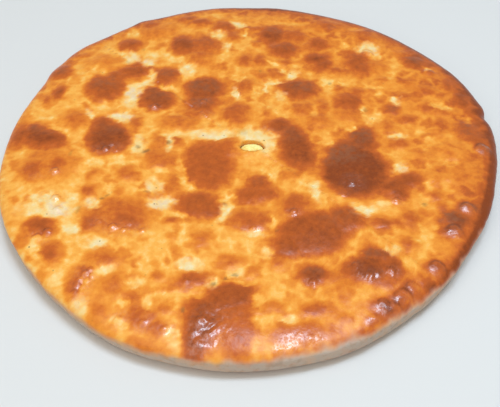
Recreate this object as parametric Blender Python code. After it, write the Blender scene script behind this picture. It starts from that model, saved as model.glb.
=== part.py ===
"""Imeruli khachapuri, a round Georgian cheese bread, whole, with the steam vent in its top.

The dough is a closed envelope round a disc of cheese. The one opening is the vent that the
baker pinches open in the middle, where the cheese shows. Metres, +Z up. The origin is under
the middle of the loaf, on the surface that it lies on.
"""

import math

import bpy
import numpy as np

MM = 0.001

# Driving dimensions
RADIUS = 139.7 * MM  # mean radius of the loaf
EDGE_HEIGHT = 17.5 * MM  # top of the shoulder, where the flat top begins
CROWN = 1.5 * MM  # how far the middle of the top stands over the shoulder
DOUGH = 4.0 * MM  # wall of dough over and under the cheese
EDGE_DOUGH = 14.0 * MM  # width of the solid dough round the cheese
ROOM_CORNER = 4.0 * MM  # how far the room's floor and ceiling stop short of its rim
GAP = 0.3 * MM  # clearance between the cheese and the dough

# Rounding of the edge, as quarter ellipses
UNDER_WIDTH = 9.0 * MM
UNDER_HEIGHT = 7.5 * MM
SHOULDER_WIDTH = 8.0 * MM
SHOULDER_HEIGHT = 6.5 * MM
SETTLE_POWER = 12  # the higher, the closer to the shoulder the top's relief dies out

# The vent: an oval hole, longer from side to side
VENT_HALF_LENGTH = 7.0 * MM
VENT_HALF_WIDTH = 4.5 * MM
VENT_LIP = 0.8 * MM  # the dough stands up a little round it
COLLAR_SHARE = 0.05  # width of that lip, as a share of the way from the vent to the shoulder
CHEESE_BELOW_LIP = 2.5 * MM
WELL_ROUNDING = 1.0 * MM  # of the cheese that has welled up

# The hand-pressed outline: waves round the edge, their depth, and the angle of a crest
OUTLINE_WAVES = (
    (2, 1.8 * MM, 51),
    (3, 2.4 * MM, 20),
    (4, 1.1 * MM, 23),
    (6, 0.5 * MM, 13),
    (8, 0.35 * MM, 17),
    (15, 0.25 * MM, 3),
)

# The surface's slow swell: wavelength, height, and the direction that the wave runs in
SWELLS = ((95 * MM, 0.45 * MM, 25), (70 * MM, 0.35 * MM, 110), (48 * MM, 0.25 * MM, 165))

# Larger blisters, in millimetres: middle x, middle y, half length, half width, turn in degrees
BLISTER_RISE = 2.0 * MM
FULL_RISE_WIDTH = 12  # half width in millimetres from which a blister has its full rise
DOME_POWER = 1.5  # a dome of this power meets the crust round it without a crease
BLISTERS = (
    # the large ones round the vent
    (-25, -14, 16, 20, 0),
    (56, -19, 22, 21, 0),
    (65, 9, 11, 13, 0),
    (27, -4, 12, 18, 0),
    (16, 14, 9, 10, 0),
    (84, -28, 12, 8, 30),
    (0, -32, 12, 11, 20),
    (0, -55, 12, 8, 0),
    (22, -45, 9, 8, 0),
    (-29, -45, 13, 11, -10),
    # the front, from the left round to the right
    (-120, -18, 9, 9, 0),
    (-111, -59, 10, 7, 0),
    (-73, -48, 20, 14, 10),
    (-68, -100, 9, 7, 0),
    (-28, -126, 8, 14, 0),
    (-14, -107, 15, 9, 25),
    (22, -126, 19, 9, 5),
    (15, -75, 11, 9, 30),
    (32, -65, 20, 14, 15),
    (31, -91, 10, 8, 0),
    (60, -85, 17, 11, 0),
    (50, -56, 10, 8, 10),
    (106, -55, 11, 9, 20),
    # the right
    (126, 13, 10, 12, 0),
    (57, 34, 10, 12, 0),
    (100, 77, 10, 9, 0),
    (67, 74, 10, 14, 0),
    # the back, from the right round to the left
    (41, 78, 10, 11, 0),
    (27, 51, 14, 12, 0),
    (21, 100, 15, 15, 0),
    (-34, 94, 17, 12, 0),
    (-35, 121, 11, 8, 15),
    (-78, 96, 9, 9, 0),
    (-72, 70, 12, 8, 20),
    (-53, 65, 9, 7, 0),
    (-30, 48, 13, 14, 0),
    # the left
    (-89, 56, 11, 11, 0),
    (-56, 43, 12, 10, -20),
    (-116, 67, 8, 8, 0),
    (-121, 12, 15, 8, -15),
    (-84, 11, 13, 14, 0),
)

# Mesh resolution
TOP_RINGS = 27
TOP_STEP = 4.6 * MM  # distance between neighbouring points of the top's rings
FINE_POINTS = 720  # points on the outline when it is measured
EDGE_POINTS = 132  # points in each ring of the side
EDGE_RINGS = 4  # rings in each quarter ellipse of the side
CAVITY_POINTS = 72
VENT_POINTS = 24

# Colours, linear RGB
CRUST_COLOUR = (0.75, 0.28, 0.06, 1.0)
CHEESE_COLOUR = (0.95, 0.78, 0.30, 1.0)


def clear_scene():
    for thing in list(bpy.data.objects):
        bpy.data.objects.remove(thing, do_unlink=True)


def outline(count, inset=0.0):
    """Points (n, 2) of the loaf's edge seen from above, moved in by inset."""
    angle = np.arange(count) * 2 * math.pi / count
    radius = np.full(count, RADIUS - inset)
    for waves, depth, crest in OUTLINE_WAVES:
        radius += depth * np.cos(waves * (angle - math.radians(crest)))
    return np.stack([radius * np.cos(angle), radius * np.sin(angle)], axis=1)


def outline_middle():
    """The middle of the outline's bounding box, which becomes the origin."""
    edge = outline(FINE_POINTS)
    return (edge.min(axis=0) + edge.max(axis=0)) / 2


def loaf_ring(count, inset, height):
    """A level ring that follows the edge of the loaf, inset from it."""
    flat = outline(count, inset) - outline_middle()
    return np.column_stack([flat, np.full(count, height)])


def vent_ring(count, inset, height):
    """A level oval ring in the vent, inset from its wall."""
    angle = np.arange(count) * 2 * math.pi / count
    x = (VENT_HALF_LENGTH - inset) * np.cos(angle)
    y = (VENT_HALF_WIDTH - inset) * np.sin(angle)
    return np.column_stack([x, y, np.full(count, height)])


def mixed_ring(inner, outer, share):
    """A ring part of the way from one ring to another of as many points."""
    return inner * (1 - share) + outer * share


def blister_height(x, y):
    """Height of the blisters' domes over the surface. Where two meet, the higher one counts."""
    height = np.zeros_like(x)
    for middle_x, middle_y, half_length, half_width, turn in BLISTERS:
        cosine, sine = math.cos(math.radians(turn)), math.sin(math.radians(turn))
        dx, dy = x - middle_x * MM, y - middle_y * MM
        along = (dx * cosine + dy * sine) / (half_length * MM)
        across = (dy * cosine - dx * sine) / (half_width * MM)
        dome = np.clip(1 - along**2 - across**2, 0, 1) ** DOME_POWER
        rise = BLISTER_RISE * min(1, half_width / FULL_RISE_WIDTH)
        height = np.maximum(height, rise * dome)
    return height


def swell_height(x, y):
    """The slow rise and fall of the whole top."""
    height = np.zeros_like(x)
    for wavelength, size, direction in SWELLS:
        cosine, sine = math.cos(math.radians(direction)), math.sin(math.radians(direction))
        height += size * np.sin((x * cosine + y * sine) * 2 * math.pi / wavelength)
    return height


def crown_height(share):
    """Height of the plain top, from the vent (share 0) to the shoulder (share 1)."""
    return EDGE_HEIGHT + CROWN * (1 - share**2)


def top_ring(share):
    """A ring of the top crust, from the vent's lip (share 0) to the shoulder (share 1)."""
    reach = VENT_HALF_LENGTH * (1 - share) + (RADIUS - SHOULDER_WIDTH) * share
    count = max(VENT_POINTS, round(2 * math.pi * reach / TOP_STEP))
    ring = mixed_ring(vent_ring(count, 0, 0), loaf_ring(count, SHOULDER_WIDTH, 0), share)
    relief = blister_height(ring[:, 0], ring[:, 1]) + swell_height(ring[:, 0], ring[:, 1])
    settled = 1 - share**SETTLE_POWER
    collar = VENT_LIP * math.exp(-((share / COLLAR_SHARE) ** 2))
    ring[:, 2] = crown_height(share) + collar + relief * settled
    return ring


def underside_rings():
    """Flat rings of the underside, from the middle outwards, each with more points."""
    return [
        loaf_ring(EDGE_POINTS * thirds // 3, RADIUS * (1 - thirds / 3), 0) for thirds in (1, 2)
    ]


def edge_rings():
    """Rings from the underside round the side to the shoulder, two quarter ellipses."""
    rings = []
    for step in range(EDGE_RINGS + 1):
        turn = math.pi / 2 * step / EDGE_RINGS
        inset = UNDER_WIDTH * (1 - math.sin(turn))
        rings.append(loaf_ring(EDGE_POINTS, inset, UNDER_HEIGHT * (1 - math.cos(turn))))
    for step in range(EDGE_RINGS):
        turn = math.pi / 2 * step / EDGE_RINGS
        inset = SHOULDER_WIDTH * (1 - math.cos(turn))
        rise = SHOULDER_HEIGHT * math.sin(turn)
        rings.append(loaf_ring(EDGE_POINTS, inset, EDGE_HEIGHT - SHOULDER_HEIGHT + rise))
    return rings


def top_rings():
    """Rings of the top crust, from the shoulder in to the vent's lip."""
    return [top_ring(1 - step / TOP_RINGS) for step in range(TOP_RINGS + 1)]


def room_rings(clearance):
    """The room for the cheese, moved in by clearance: its ceiling's edge, rim and floor's edge."""
    floor = DOUGH + clearance
    ceiling = EDGE_HEIGHT - DOUGH - clearance
    inset = EDGE_DOUGH + clearance
    return [
        loaf_ring(CAVITY_POINTS, inset + ROOM_CORNER, ceiling),
        loaf_ring(CAVITY_POINTS, inset, (floor + ceiling) / 2),
        loaf_ring(CAVITY_POINTS, inset + ROOM_CORNER, floor),
    ]


def ceiling_rings(foot_inset, foot_height, edge):
    """Rings from the foot of the vent out to the edge of the room's ceiling."""
    foot = vent_ring(CAVITY_POINTS, foot_inset, foot_height)
    return [mixed_ring(foot, edge, share) for share in (0, 0.5, 1)]


def cavity_rings():
    """Rings down the vent's wall, out under the top crust, and back in over the bottom crust."""
    ceiling_edge, rim, floor_edge = room_rings(0)
    ceiling = ceiling_rings(0, EDGE_HEIGHT + CROWN - DOUGH, ceiling_edge)
    floor = loaf_ring(CAVITY_POINTS // 2, RADIUS / 2, DOUGH)
    return [*ceiling, rim, floor_edge, floor]


def band(first, first_count, second, second_count):
    """Triangles between two rings, walked round together when their points differ in number."""
    faces = []
    i = j = 0
    while i < first_count or j < second_count:
        here, there = first + i % first_count, second + j % second_count
        if (i + 1) * second_count <= (j + 1) * first_count:
            faces.append((here, first + (i + 1) % first_count, there))
            i += 1
        else:
            faces.append((here, second + (j + 1) % second_count, there))
            j += 1
    return faces


def skin(name, start, rings, end):
    """A closed mesh over rings, shut at each end by a fan to a point."""
    points = np.concatenate([[start], *rings, [end]])
    firsts = np.cumsum([1] + [len(ring) for ring in rings])
    faces = []
    for ring in range(len(rings) - 1):
        faces += band(firsts[ring], len(rings[ring]), firsts[ring + 1], len(rings[ring + 1]))
    for step in range(len(rings[0])):
        faces.append((0, 1 + (step + 1) % len(rings[0]), 1 + step))
    last, final = len(points) - 1, firsts[-2]
    for step in range(len(rings[-1])):
        faces.append((last, final + step, final + (step + 1) % len(rings[-1])))
    mesh = bpy.data.meshes.new(name)
    mesh.from_pydata(points.tolist(), [], faces)
    mesh.shade_smooth()
    thing = bpy.data.objects.new(name, mesh)
    bpy.context.scene.collection.objects.link(thing)
    return thing


def finish(thing, colour, roughness):
    """A Principled BSDF in the piece's colour."""
    material = bpy.data.materials.new(thing.name)
    material.use_nodes = True
    shader = material.node_tree.nodes["Principled BSDF"]
    shader.inputs["Base Color"].default_value = colour
    shader.inputs["Roughness"].default_value = roughness
    shader.inputs["Metallic"].default_value = 0.0
    thing.data.materials.append(material)


def make_dough():
    """The bread: underside, side, blistered top, the vent's wall, and the room for the cheese."""
    rings = [*underside_rings(), *edge_rings(), *top_rings(), *cavity_rings()]
    return skin("dough", (0, 0, 0), rings, (0, 0, DOUGH))


def make_cheese():
    """The filling: a disc that runs through the bread and wells up into the vent."""
    ceiling_edge, rim, floor_edge = room_rings(GAP)
    floor = mixed_ring(np.array([[0, 0, DOUGH + GAP]]), floor_edge, 0.5)
    ceiling = ceiling_rings(2 * GAP, EDGE_HEIGHT + CROWN - DOUGH - 3 * GAP, ceiling_edge)
    well_top = EDGE_HEIGHT + CROWN + VENT_LIP - CHEESE_BELOW_LIP
    well = [
        vent_ring(VENT_POINTS, 2 * GAP, well_top - WELL_ROUNDING),
        vent_ring(VENT_POINTS, 2 * GAP + WELL_ROUNDING, well_top - WELL_ROUNDING / 4),
    ]
    rings = [floor, floor_edge, rim, *reversed(ceiling), *well]
    return skin("cheese", (0, 0, DOUGH + GAP), rings, (0, 0, well_top))


clear_scene()
finish(make_dough(), CRUST_COLOUR, 0.35)
finish(make_cheese(), CHEESE_COLOUR, 0.30)
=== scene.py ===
# %% [markdown]
# # A cheese bread out of the oven
# Imeruli khachapuri is a round Georgian bread: a disc of cheese shut into soft dough, brushed
# with egg and baked until its top blisters. The baker pinches one small vent open in the middle.
# This lesson builds its looks around a CAD model that already fixes every size. It shows how to
# work surfaces out with numpy, how to bake a browning map into a mesh, and how to write shader
# nodes as sums and products.

# %% The frame, and the box that the looks have to stay in
import math

import bpy
import numpy as np
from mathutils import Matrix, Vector


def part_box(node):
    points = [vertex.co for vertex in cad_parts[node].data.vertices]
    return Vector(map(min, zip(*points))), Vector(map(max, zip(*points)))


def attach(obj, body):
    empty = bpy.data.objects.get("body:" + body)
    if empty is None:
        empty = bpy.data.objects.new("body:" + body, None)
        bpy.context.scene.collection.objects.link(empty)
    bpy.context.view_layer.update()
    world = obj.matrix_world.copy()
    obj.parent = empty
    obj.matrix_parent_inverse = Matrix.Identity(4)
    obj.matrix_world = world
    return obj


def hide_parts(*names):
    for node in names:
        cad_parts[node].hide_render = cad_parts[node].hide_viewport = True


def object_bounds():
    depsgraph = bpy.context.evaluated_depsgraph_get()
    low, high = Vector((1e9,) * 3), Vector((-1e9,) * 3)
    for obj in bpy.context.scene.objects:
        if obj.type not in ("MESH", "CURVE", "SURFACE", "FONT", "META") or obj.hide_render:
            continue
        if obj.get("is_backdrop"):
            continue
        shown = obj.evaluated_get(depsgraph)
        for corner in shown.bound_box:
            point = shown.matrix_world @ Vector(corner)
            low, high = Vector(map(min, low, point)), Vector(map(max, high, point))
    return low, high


MM = 0.001
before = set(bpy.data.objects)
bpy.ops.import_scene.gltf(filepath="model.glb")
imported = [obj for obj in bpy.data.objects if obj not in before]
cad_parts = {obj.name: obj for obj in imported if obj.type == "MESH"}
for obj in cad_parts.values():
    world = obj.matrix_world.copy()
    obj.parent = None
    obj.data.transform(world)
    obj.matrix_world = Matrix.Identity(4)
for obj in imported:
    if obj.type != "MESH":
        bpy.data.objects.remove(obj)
cad_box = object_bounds()
dough_low, dough_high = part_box("dough")
cheese_low, cheese_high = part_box("cheese")
print("nodes:", ", ".join(sorted(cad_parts)))
print("loaf, mm:", [round(side / MM, 1) for side in dough_high - dough_low])

# %% [markdown]
# ## The camera
# The viewer stands over the table and looks down at the bread at about 44 degrees. A camera
# could be aimed by a constraint, but a quaternion that tracks one target is simpler and needs
# nothing else in the scene. The sensor is Blender's usual 36 mm wide, so the lens alone sets
# how much of the table is seen.

# %% The camera
VIEW_ELEVATION = math.radians(43.7)
VIEW_DISTANCE = 523 * MM
VIEW_TARGET = Vector((-0.9 * MM, -43.1 * MM, 18 * MM))
LENS = 66.7  # mm, over a sensor 36 mm wide

camera_data = bpy.data.cameras.new("camera")
camera_data.lens = LENS
camera_data.clip_start = 10 * MM
camera = bpy.data.objects.new("camera", camera_data)
camera.location = (
    0,
    -VIEW_DISTANCE * math.cos(VIEW_ELEVATION),
    VIEW_DISTANCE * math.sin(VIEW_ELEVATION) + VIEW_TARGET.z,
)
camera.rotation_mode = "QUATERNION"
camera.rotation_quaternion = (VIEW_TARGET - camera.location).to_track_quat("-Z", "Y")
bpy.context.scene.collection.objects.link(camera)
bpy.context.scene.camera = camera
print("camera at, mm:", [round(place / MM) for place in camera.location])

# %% [markdown]
# ## Two curves and a noise
# Everything uneven about a bread comes from three small tools. A smooth step goes from 0 to 1
# without a corner. Gradient noise is smooth and random, and adding it to itself at half the
# size and half the strength gives the look of something grown rather than drawn. Blender has
# noise nodes for this, but a noise in numpy can shape a mesh as well as colour it.

# %% Smooth steps and noise
def smooth_step(value, low, high):
    """0 at low, 1 at high, and 3t^2 - 2t^3 between them. It falls where low is the higher."""
    t = np.clip((value - low) / (high - low), 0, 1)
    return t * t * (3 - 2 * t)


def gradient_noise(x, y, cell, seed):
    """Noise from about -1 to 1: a random slope at each corner of a square cell, blended by
    6t^5 - 15t^4 + 10t^3, which is level at the corners."""
    turn = np.random.default_rng(seed).random((256, 256)) * 2 * math.pi
    column, row = np.floor(x / cell).astype(int), np.floor(y / cell).astype(int)
    across, up = x / cell - column, y / cell - row

    def corner(right, above):
        angle = turn[(column + right) % 256, (row + above) % 256]
        return np.cos(angle) * (across - right) + np.sin(angle) * (up - above)

    blend_x = across**3 * (across * (across * 6 - 15) + 10)
    blend_y = up**3 * (up * (up * 6 - 15) + 10)
    near = corner(0, 0) * (1 - blend_x) + corner(1, 0) * blend_x
    far = corner(0, 1) * (1 - blend_x) + corner(1, 1) * blend_x
    return 1.5 * (near * (1 - blend_y) + far * blend_y)


def layered_noise(x, y, cell, seed, layers=3):
    """Gradient noise plus itself at half the cell and half the strength, layer after layer."""
    return sum(
        gradient_noise(x, y, cell / 2**layer, seed + layer) / 2**layer for layer in range(layers)
    )


def cell_noise(x, y, cell, seed):
    """Cells like those of a foam. Each square of a grid holds one random point, and a place
    belongs to the nearest. Returns how deep in its cell a place is (the distance to the second
    nearest point less that to the nearest, in squares) and a random number for the cell."""
    scatter = np.random.default_rng(seed).random((3, 256, 256))
    column, row = np.floor(x / cell).astype(int), np.floor(y / cell).astype(int)
    nearest, second, share = np.full(x.shape, 9.0), np.full(x.shape, 9.0), np.zeros(x.shape)
    for right in (-1, 0, 1):
        for above in (-1, 0, 1):
            i, j = column + right, row + above
            jump_x, jump_y, luck = scatter[:, i % 256, j % 256]
            far = np.hypot(i + jump_x - x / cell, j + jump_y - y / cell)
            closer = far < nearest
            second = np.where(closer, nearest, np.minimum(second, far))
            share = np.where(closer, luck, share)
            nearest = np.minimum(nearest, far)
    return second - nearest, share


sample_x, sample_y = np.meshgrid(np.arange(100) * MM, np.arange(100) * MM)
sample = layered_noise(sample_x, sample_y, 20 * MM, 1)
print("noise from", round(float(sample.min()), 2), "to", round(float(sample.max()), 2))
print("foam cells up to", round(float(cell_noise(sample_x, sample_y, 9 * MM, 1)[0].max()), 2), "deep")

# %% [markdown]
# ## The outline, pressed by hand
# Seen from above, the loaf is a circle that hands have pushed about. A circle whose radius
# carries a few cosine waves gives that in one line, and the CAD uses the same waves, so the
# two outlines agree. The waves are few and low: the eye takes even 2 mm in 140 for hand work.

# %% The outline and the vent
RADIUS = 139.7 * MM
EDGE_HEIGHT = 17.5 * MM
CROWN = 1.5 * MM
DOUGH = 4.0 * MM
EDGE_DOUGH = 14.0 * MM
ROOM_CORNER = 4.0 * MM
GAP = 0.3 * MM
SHOULDER_WIDTH, SHOULDER_HEIGHT = 8.0 * MM, 6.5 * MM
UNDER_WIDTH, UNDER_HEIGHT = 9.0 * MM, 7.5 * MM
VENT_HALF_LENGTH, VENT_HALF_WIDTH = 7.0 * MM, 4.5 * MM
OUTLINE_WAVES = (
    (2, 1.8 * MM, 51),
    (3, 2.4 * MM, 20),
    (4, 1.1 * MM, 23),
    (6, 0.5 * MM, 13),
    (8, 0.35 * MM, 17),
    (15, 0.25 * MM, 3),
)


def reach(angle):
    """Distance of the edge from its centre: the mean radius plus one cosine for each wave."""
    waves = [deep * np.cos(count * (angle - math.radians(at))) for count, deep, at in OUTLINE_WAVES]
    return RADIUS + sum(waves)


# Blisters that bulge over the rim and nicks in it: the angle, its half width, and the push
RIM_MARKS = (
    (180, 22, 1.4 * MM),
    (150, 2.8, 1.6 * MM),
    (140, 7.0, 2.6 * MM),
    (120, 3.0, 1.4 * MM),
    (88, 16, 1.4 * MM),
    (83, 5.0, 1.2 * MM),
    (15, 2.4, 0.8 * MM),
    (-14, 20, 2.0 * MM),
    (11.7, 1.8, -1.8 * MM),
    (-39, 3.0, 0.7 * MM),
    (207, 4.0, 0.8 * MM),
)


def edge_points(angle, inset=0.0, marks=0.0):
    """Points of the edge moved in by inset: reach less inset, turned to x and y, and shifted so
    that the middle of the outline's box is at 0. Each mark is a bell curve of the angle."""
    round_trip = np.linspace(0, 2 * math.pi, 721)
    edge = reach(round_trip) * np.stack([np.cos(round_trip), np.sin(round_trip)])
    middle = (edge.min(axis=1) + edge.max(axis=1)) / 2
    radius = reach(angle) - inset
    for at, wide, push in RIM_MARKS:
        apart = np.degrees(np.angle(np.exp(1j * (angle - math.radians(at)))))
        radius = radius + marks * push * np.exp(-((apart / wide) ** 2))
    return radius * np.cos(angle) - middle[0], radius * np.sin(angle) - middle[1]


def vent_points(angle, inset=0.0, torn=0.0):
    """Points of the vent's oval: half length times cosine, half width times sine, where torn
    adds the unevenness of dough that was pinched open."""
    uneven = 1 + torn * (0.09 * np.cos(3 * angle + 0.6) + 0.05 * np.cos(5 * angle + 2))
    return (
        (VENT_HALF_LENGTH - inset) * np.cos(angle) * uneven,
        (VENT_HALF_WIDTH - inset) * np.sin(angle) * uneven,
    )


outline_x, outline_y = edge_points(np.linspace(0, 2 * math.pi, 721))
print("outline, mm:", round(np.ptp(outline_x) / MM, 1), "x", round(np.ptp(outline_y) / MM, 1))

# %% [markdown]
# ## Where the oven browned it
# The top is a map of the oven's work. Steam lifts the skin into blisters, and what stands
# highest browns first, so one table can serve both the relief and the colour. Each row is a
# blister as an oval: its middle, its two half sizes, its turn, and how far it browned, where
# 0.5 is golden and 1 is nearly burnt. A second table holds what stayed pale, in the creases
# between blisters. A painted picture could hold the same, but a table can be read, and a
# warped oval edge looks more like bread than a painted one.

# %% The browned blisters: x, y, half length, half width in mm, turn in degrees, browning
BROWNED = (
    # round the vent
    (-24, -15, 14, 18.5, 0, 0.8), (-14, -2, 7, 8, 0, 0.7), (25, -1, 18, 9.5, 103, 0.93),
    (16, 15, 7.5, 6.5, 0, 0.87), (57, -19, 19, 20, 0, 0.99), (52, -4, 13, 9, 30, 0.91),
    (63, 5, 8.5, 13, 0, 0.92), (77, -33, 8, 8, 0, 0.91), (85, -27, 9, 5.5, 25, 0.89),
    (4, -29, 6, 8, 0, 0.82), (3, -37, 11, 7, 5, 0.81), (-28, -45, 12.5, 10, -15, 0.81),
    (-43, -29, 6, 9, 0, 0.64), (-50, -11, 9.5, 8, 0, 0.66), (-42, 4, 3.5, 3.5, 0, 0.66),
    (-52, 3, 4, 6, 0, 0.6), (-9, 27, 7.5, 9, 0, 0.73), (-42, 21, 11, 6, 0, 0.64),
    (29, 31, 7, 6, 10, 0.68), (41, 34, 4.5, 6, 0, 0.68), (38, 21, 9, 6, 0, 0.6),
    (9, 28, 3, 5, 0, 0.6), (23, -46, 9, 8, 0, 0.73), (20, -23, 7, 4, 0, 0.57),
    (0, -55, 12, 7, 0, 0.73),
    # front left
    (-120, -18, 6, 7.5, 0, 0.75), (-107, -14, 5, 5, 0, 0.77), (-113, -14, 17, 13, 0, 0.56), (-68, -22, 6.5, 6.5, 0, 0.6),
    (-86, -22, 4, 4, 0, 0.57), (-97, -14, 4, 6, 0, 0.55), (-88, -34, 3.5, 4, 0, 0.73),
    (-72, -35, 4, 3, 0, 0.58), (-55, -39, 3.5, 3, 0, 0.58), (-110, -58, 7.5, 4.5, -10, 0.86),
    (-105, -62, 3, 3, 0, 0.7), (-118, -62, 4, 6, 0, 0.62), (-71, -51, 20, 12, 5, 0.67),
    (-65, -56, 8.5, 5, 0, 0.8), (-85, -56, 5, 6, 0, 0.77), (-41, -57, 5, 2.5, 0, 0.68),
    (-103, -76, 6, 6, 0, 0.73), (-74, -81, 9, 6, 0, 0.66), (-26, -69, 5.5, 5, 0, 0.64),
    (-40, -67, 3, 3, 0, 0.53), (-30, -95, 10, 3.6, 15, 0.77), (-84, -89, 4, 3, 0, 0.74),
    (-88, -96, 4, 6, 0, 0.72), (-68, -97, 6, 7, 0, 0.64), (-74, -112, 5, 5, 0, 0.64), (-62, -108, 21, 16, -20, 0.46),
    (-58, -105, 5, 5, 0, 0.64), (-53, -116, 8, 8, 0, 0.68), (-45, -122, 5, 4, 0, 0.7),
    (-42, -113, 3.5, 2.5, 0, 0.65), (-50, -131, 8, 3, -15, 0.56), (-47, -92, 3.5, 2.5, 0, 0.6),
    # front right
    (-10, -82, 7.5, 4, 0, 0.62), (0, -89, 4, 2.5, 0, 0.58), (-11, -106, 15, 9, 25, 0.88),
    (-23, -119, 9, 14, 0, 0.9), (-27, -131, 6, 12, 0, 0.88), (-8, -122, 12, 15, 0, 0.72),
    (2, -113, 3, 3, 0, 0.66), (11, -110, 4.5, 3, 0, 0.6),
    (30, -112, 7, 3.6, 5, 0.73), (24, -124, 16, 5, 3, 0.68), (32, -64, 19, 14, 15, 0.88),
    (49, -55, 10, 8, 0, 0.86), (18, -73, 9, 8, 0, 0.86), (14, -83, 6, 5, 0, 0.66),
    (31, -91, 7.5, 5.5, 0, 0.94), (41, -93, 6, 4, 0, 0.67), (58, -88, 12.5, 8, 0, 0.95),
    (64, -79, 8, 5.5, 0, 0.89), (71, -86, 6, 8.5, 0, 0.88), (67, -95, 9, 4, 0, 0.72),
    (68, -57, 6.5, 4, 0, 0.76), (84, -54, 5, 6, 0, 0.73), (82, -71, 5, 5, 0, 0.73),
    (45, -101, 4, 7, 0, 0.57), (45, -117, 4, 3, 0, 0.62), (52, -125, 8, 2, 22, 0.75),
    (91, -84, 4.5, 4.5, 0, 0.8), (77.5, -98, 4, 4, 0, 0.8), (72, -105, 5.5, 5, 40, 0.84),
    (65, -110, 5.5, 5, 0, 0.94), (59, -118, 3, 2.6, 0, 0.72), (86, -93, 4, 4, 40, 0.62),
    (107, -53, 8, 5, 10, 0.98), (104, -60, 6, 4.5, 0, 0.88), (114, -44, 5.5, 4, 20, 0.8),
    (123, -44, 3.5, 4, 0, 0.74), (99, -36, 4.5, 4, 0, 0.68), (102, -44, 3, 3, 0, 0.63),
    # right
    (124, 15, 7, 8, 0, 0.8), (128, 8, 7, 6, 0, 0.78), (131, 0, 5, 5, 0, 0.74),
    (130, 32, 6, 5.5, 0, 0.79), (124, 42, 4.5, 6.5, 0, 0.92), (118, 55, 4, 7, 0, 0.74),
    (110, 20, 3.5, 4, 0, 0.73), (108, 14, 4, 4, 0, 0.61), (112, 31, 7, 4, 0, 0.65),
    (103, 34, 5, 4, 0, 0.66), (90, 23, 5.5, 3.5, 0, 0.72), (82, 32, 5, 4.5, 0, 0.79),
    (57, 38, 7.5, 7.5, 0, 0.82), (57, 28, 8, 6, 0, 0.64), (78, 17, 4, 5, 0, 0.61),
    (83, 4, 5.5, 4, 0, 0.69), (100, 8, 3, 3, 0, 0.61), (114, -17, 5.5, 3, 0, 0.57),
    (95, -7, 4.5, 4, 0, 0.53), (104, -15, 4, 3, 0, 0.53), (104, 49, 6, 5, 0, 0.67),
    (117, -24, 14, 15, 0, 0.54), (103, -23, 9, 8, 0, 0.49), (114, -3, 10, 8, 0, 0.5),
    (92, 57, 3.5, 2.5, 0, 0.68), (90, 43, 3.5, 3, 0, 0.66), (80, 59, 4.5, 2.5, 0, 0.63),
    (62, 47, 5, 4, 0, 0.71), (70, 47, 3, 3, 0, 0.6), (52, 50, 4, 3, 0, 0.62),
    (108, 66, 3.6, 3.6, 0, 0.75), (100, 78, 6.5, 6, 0, 0.91), (97, 86, 6, 4, 0, 0.68),
    # back
    (65, 77, 6.5, 8, 0, 0.84), (67, 70, 6.5, 7.5, 0, 0.79), (75, 72, 5, 6, 0, 0.6),
    (72, 85, 4, 2.6, 0, 0.76), (72, 105, 9, 8, -20, 0.68), (70, 100, 3.5, 2.6, 0, 0.77),
    (48, 116, 12, 7, -15, 0.68), (51, 114, 4, 3, 0, 0.74), (53, 68, 5.5, 3, 0, 0.71),
    (41, 80, 7, 6, 0, 0.91), (44, 73, 6, 6, 0, 0.85), (41, 95, 6.5, 5, 0, 0.85),
    (34, 90, 7, 5, 0, 0.66), (13, 103, 7.5, 10, 0, 0.9), (26, 102, 8, 9, 0, 0.71), (20, 89, 9, 8, 0, 0.84), (0, 110, 12, 3, 0, 0.69), (20, 76, 5.5, 3, 0, 0.64),
    (28, 50, 11.5, 9.5, 0, 0.87), (15, 64, 5, 4, 0, 0.63), (7, 61, 4, 3, 0, 0.67),
    (-4, 77, 4.5, 4.5, 0, 0.75), (5, 76, 4.5, 5, 0, 0.74), (-5, 52, 7, 8, 0, 0.63),
    (-13, 57, 3, 3, 0, 0.61), (3, 93, 3, 4, 0, 0.58), (-12, 101, 4, 5, 0, 0.67),
    (-19, 112, 6.5, 5.5, 0, 0.81), (-34, 117, 7, 4, 0, 0.79), (-41, 122, 5.5, 3.6, 0, 0.73),
    (-43, 93, 7.5, 9, 0, 0.88), (-30, 92, 11, 10, 0, 0.74), (-32, 79, 8, 7, 0, 0.63),
    (-62, 110, 14, 8, 20, 0.58), (-65, 117, 6, 3.5, 25, 0.75), (-77, 94, 6.5, 6, 0, 0.86),
    # back left
    (-92, 76, 9, 8, 0, 0.52), (-107, 85, 4, 2.6, 0, 0.65), (-72, 67, 8.5, 5.5, 10, 0.91),
    (-71, 73, 3, 4, 0, 0.8), (-63, 68, 5, 3, 0, 0.79), (-77, 61, 7, 4, 30, 0.8),
    (-88, 51, 11, 11, 0, 0.84), (-83, 61, 6, 5, 0, 0.84), (-90, 42, 4, 4, 0, 0.73),
    (-52, 62, 8, 8, 0, 0.82), (-56, 40, 10, 8.5, -10, 0.93), (-60, 47, 5, 5, 0, 0.88),
    (-28, 50, 12, 10, 0, 0.9), (-30, 38, 10, 9, 0, 0.82), (-32, 29, 9, 5, 0, 0.7),
    (-117, 69, 6.5, 6.5, 0, 0.84), (-115, 47, 3.5, 6, 0, 0.84), (-122, 42, 3, 4.5, 0, 0.69),
    (-102, 23, 8, 8, 0, 0.66), (-66, 20, 3.6, 7.5, 0, 0.67), (-119, 8, 14, 7.5, -20, 0.93),
    (-124, 14, 8.5, 7, 0, 0.87), (-133, 12, 6, 9, 0, 0.84), (-82, 7, 12, 12.5, 0, 0.95), (-86, 17, 6, 7, 0, 0.87),
)
print(len(BROWNED), "browned blisters")

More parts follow.
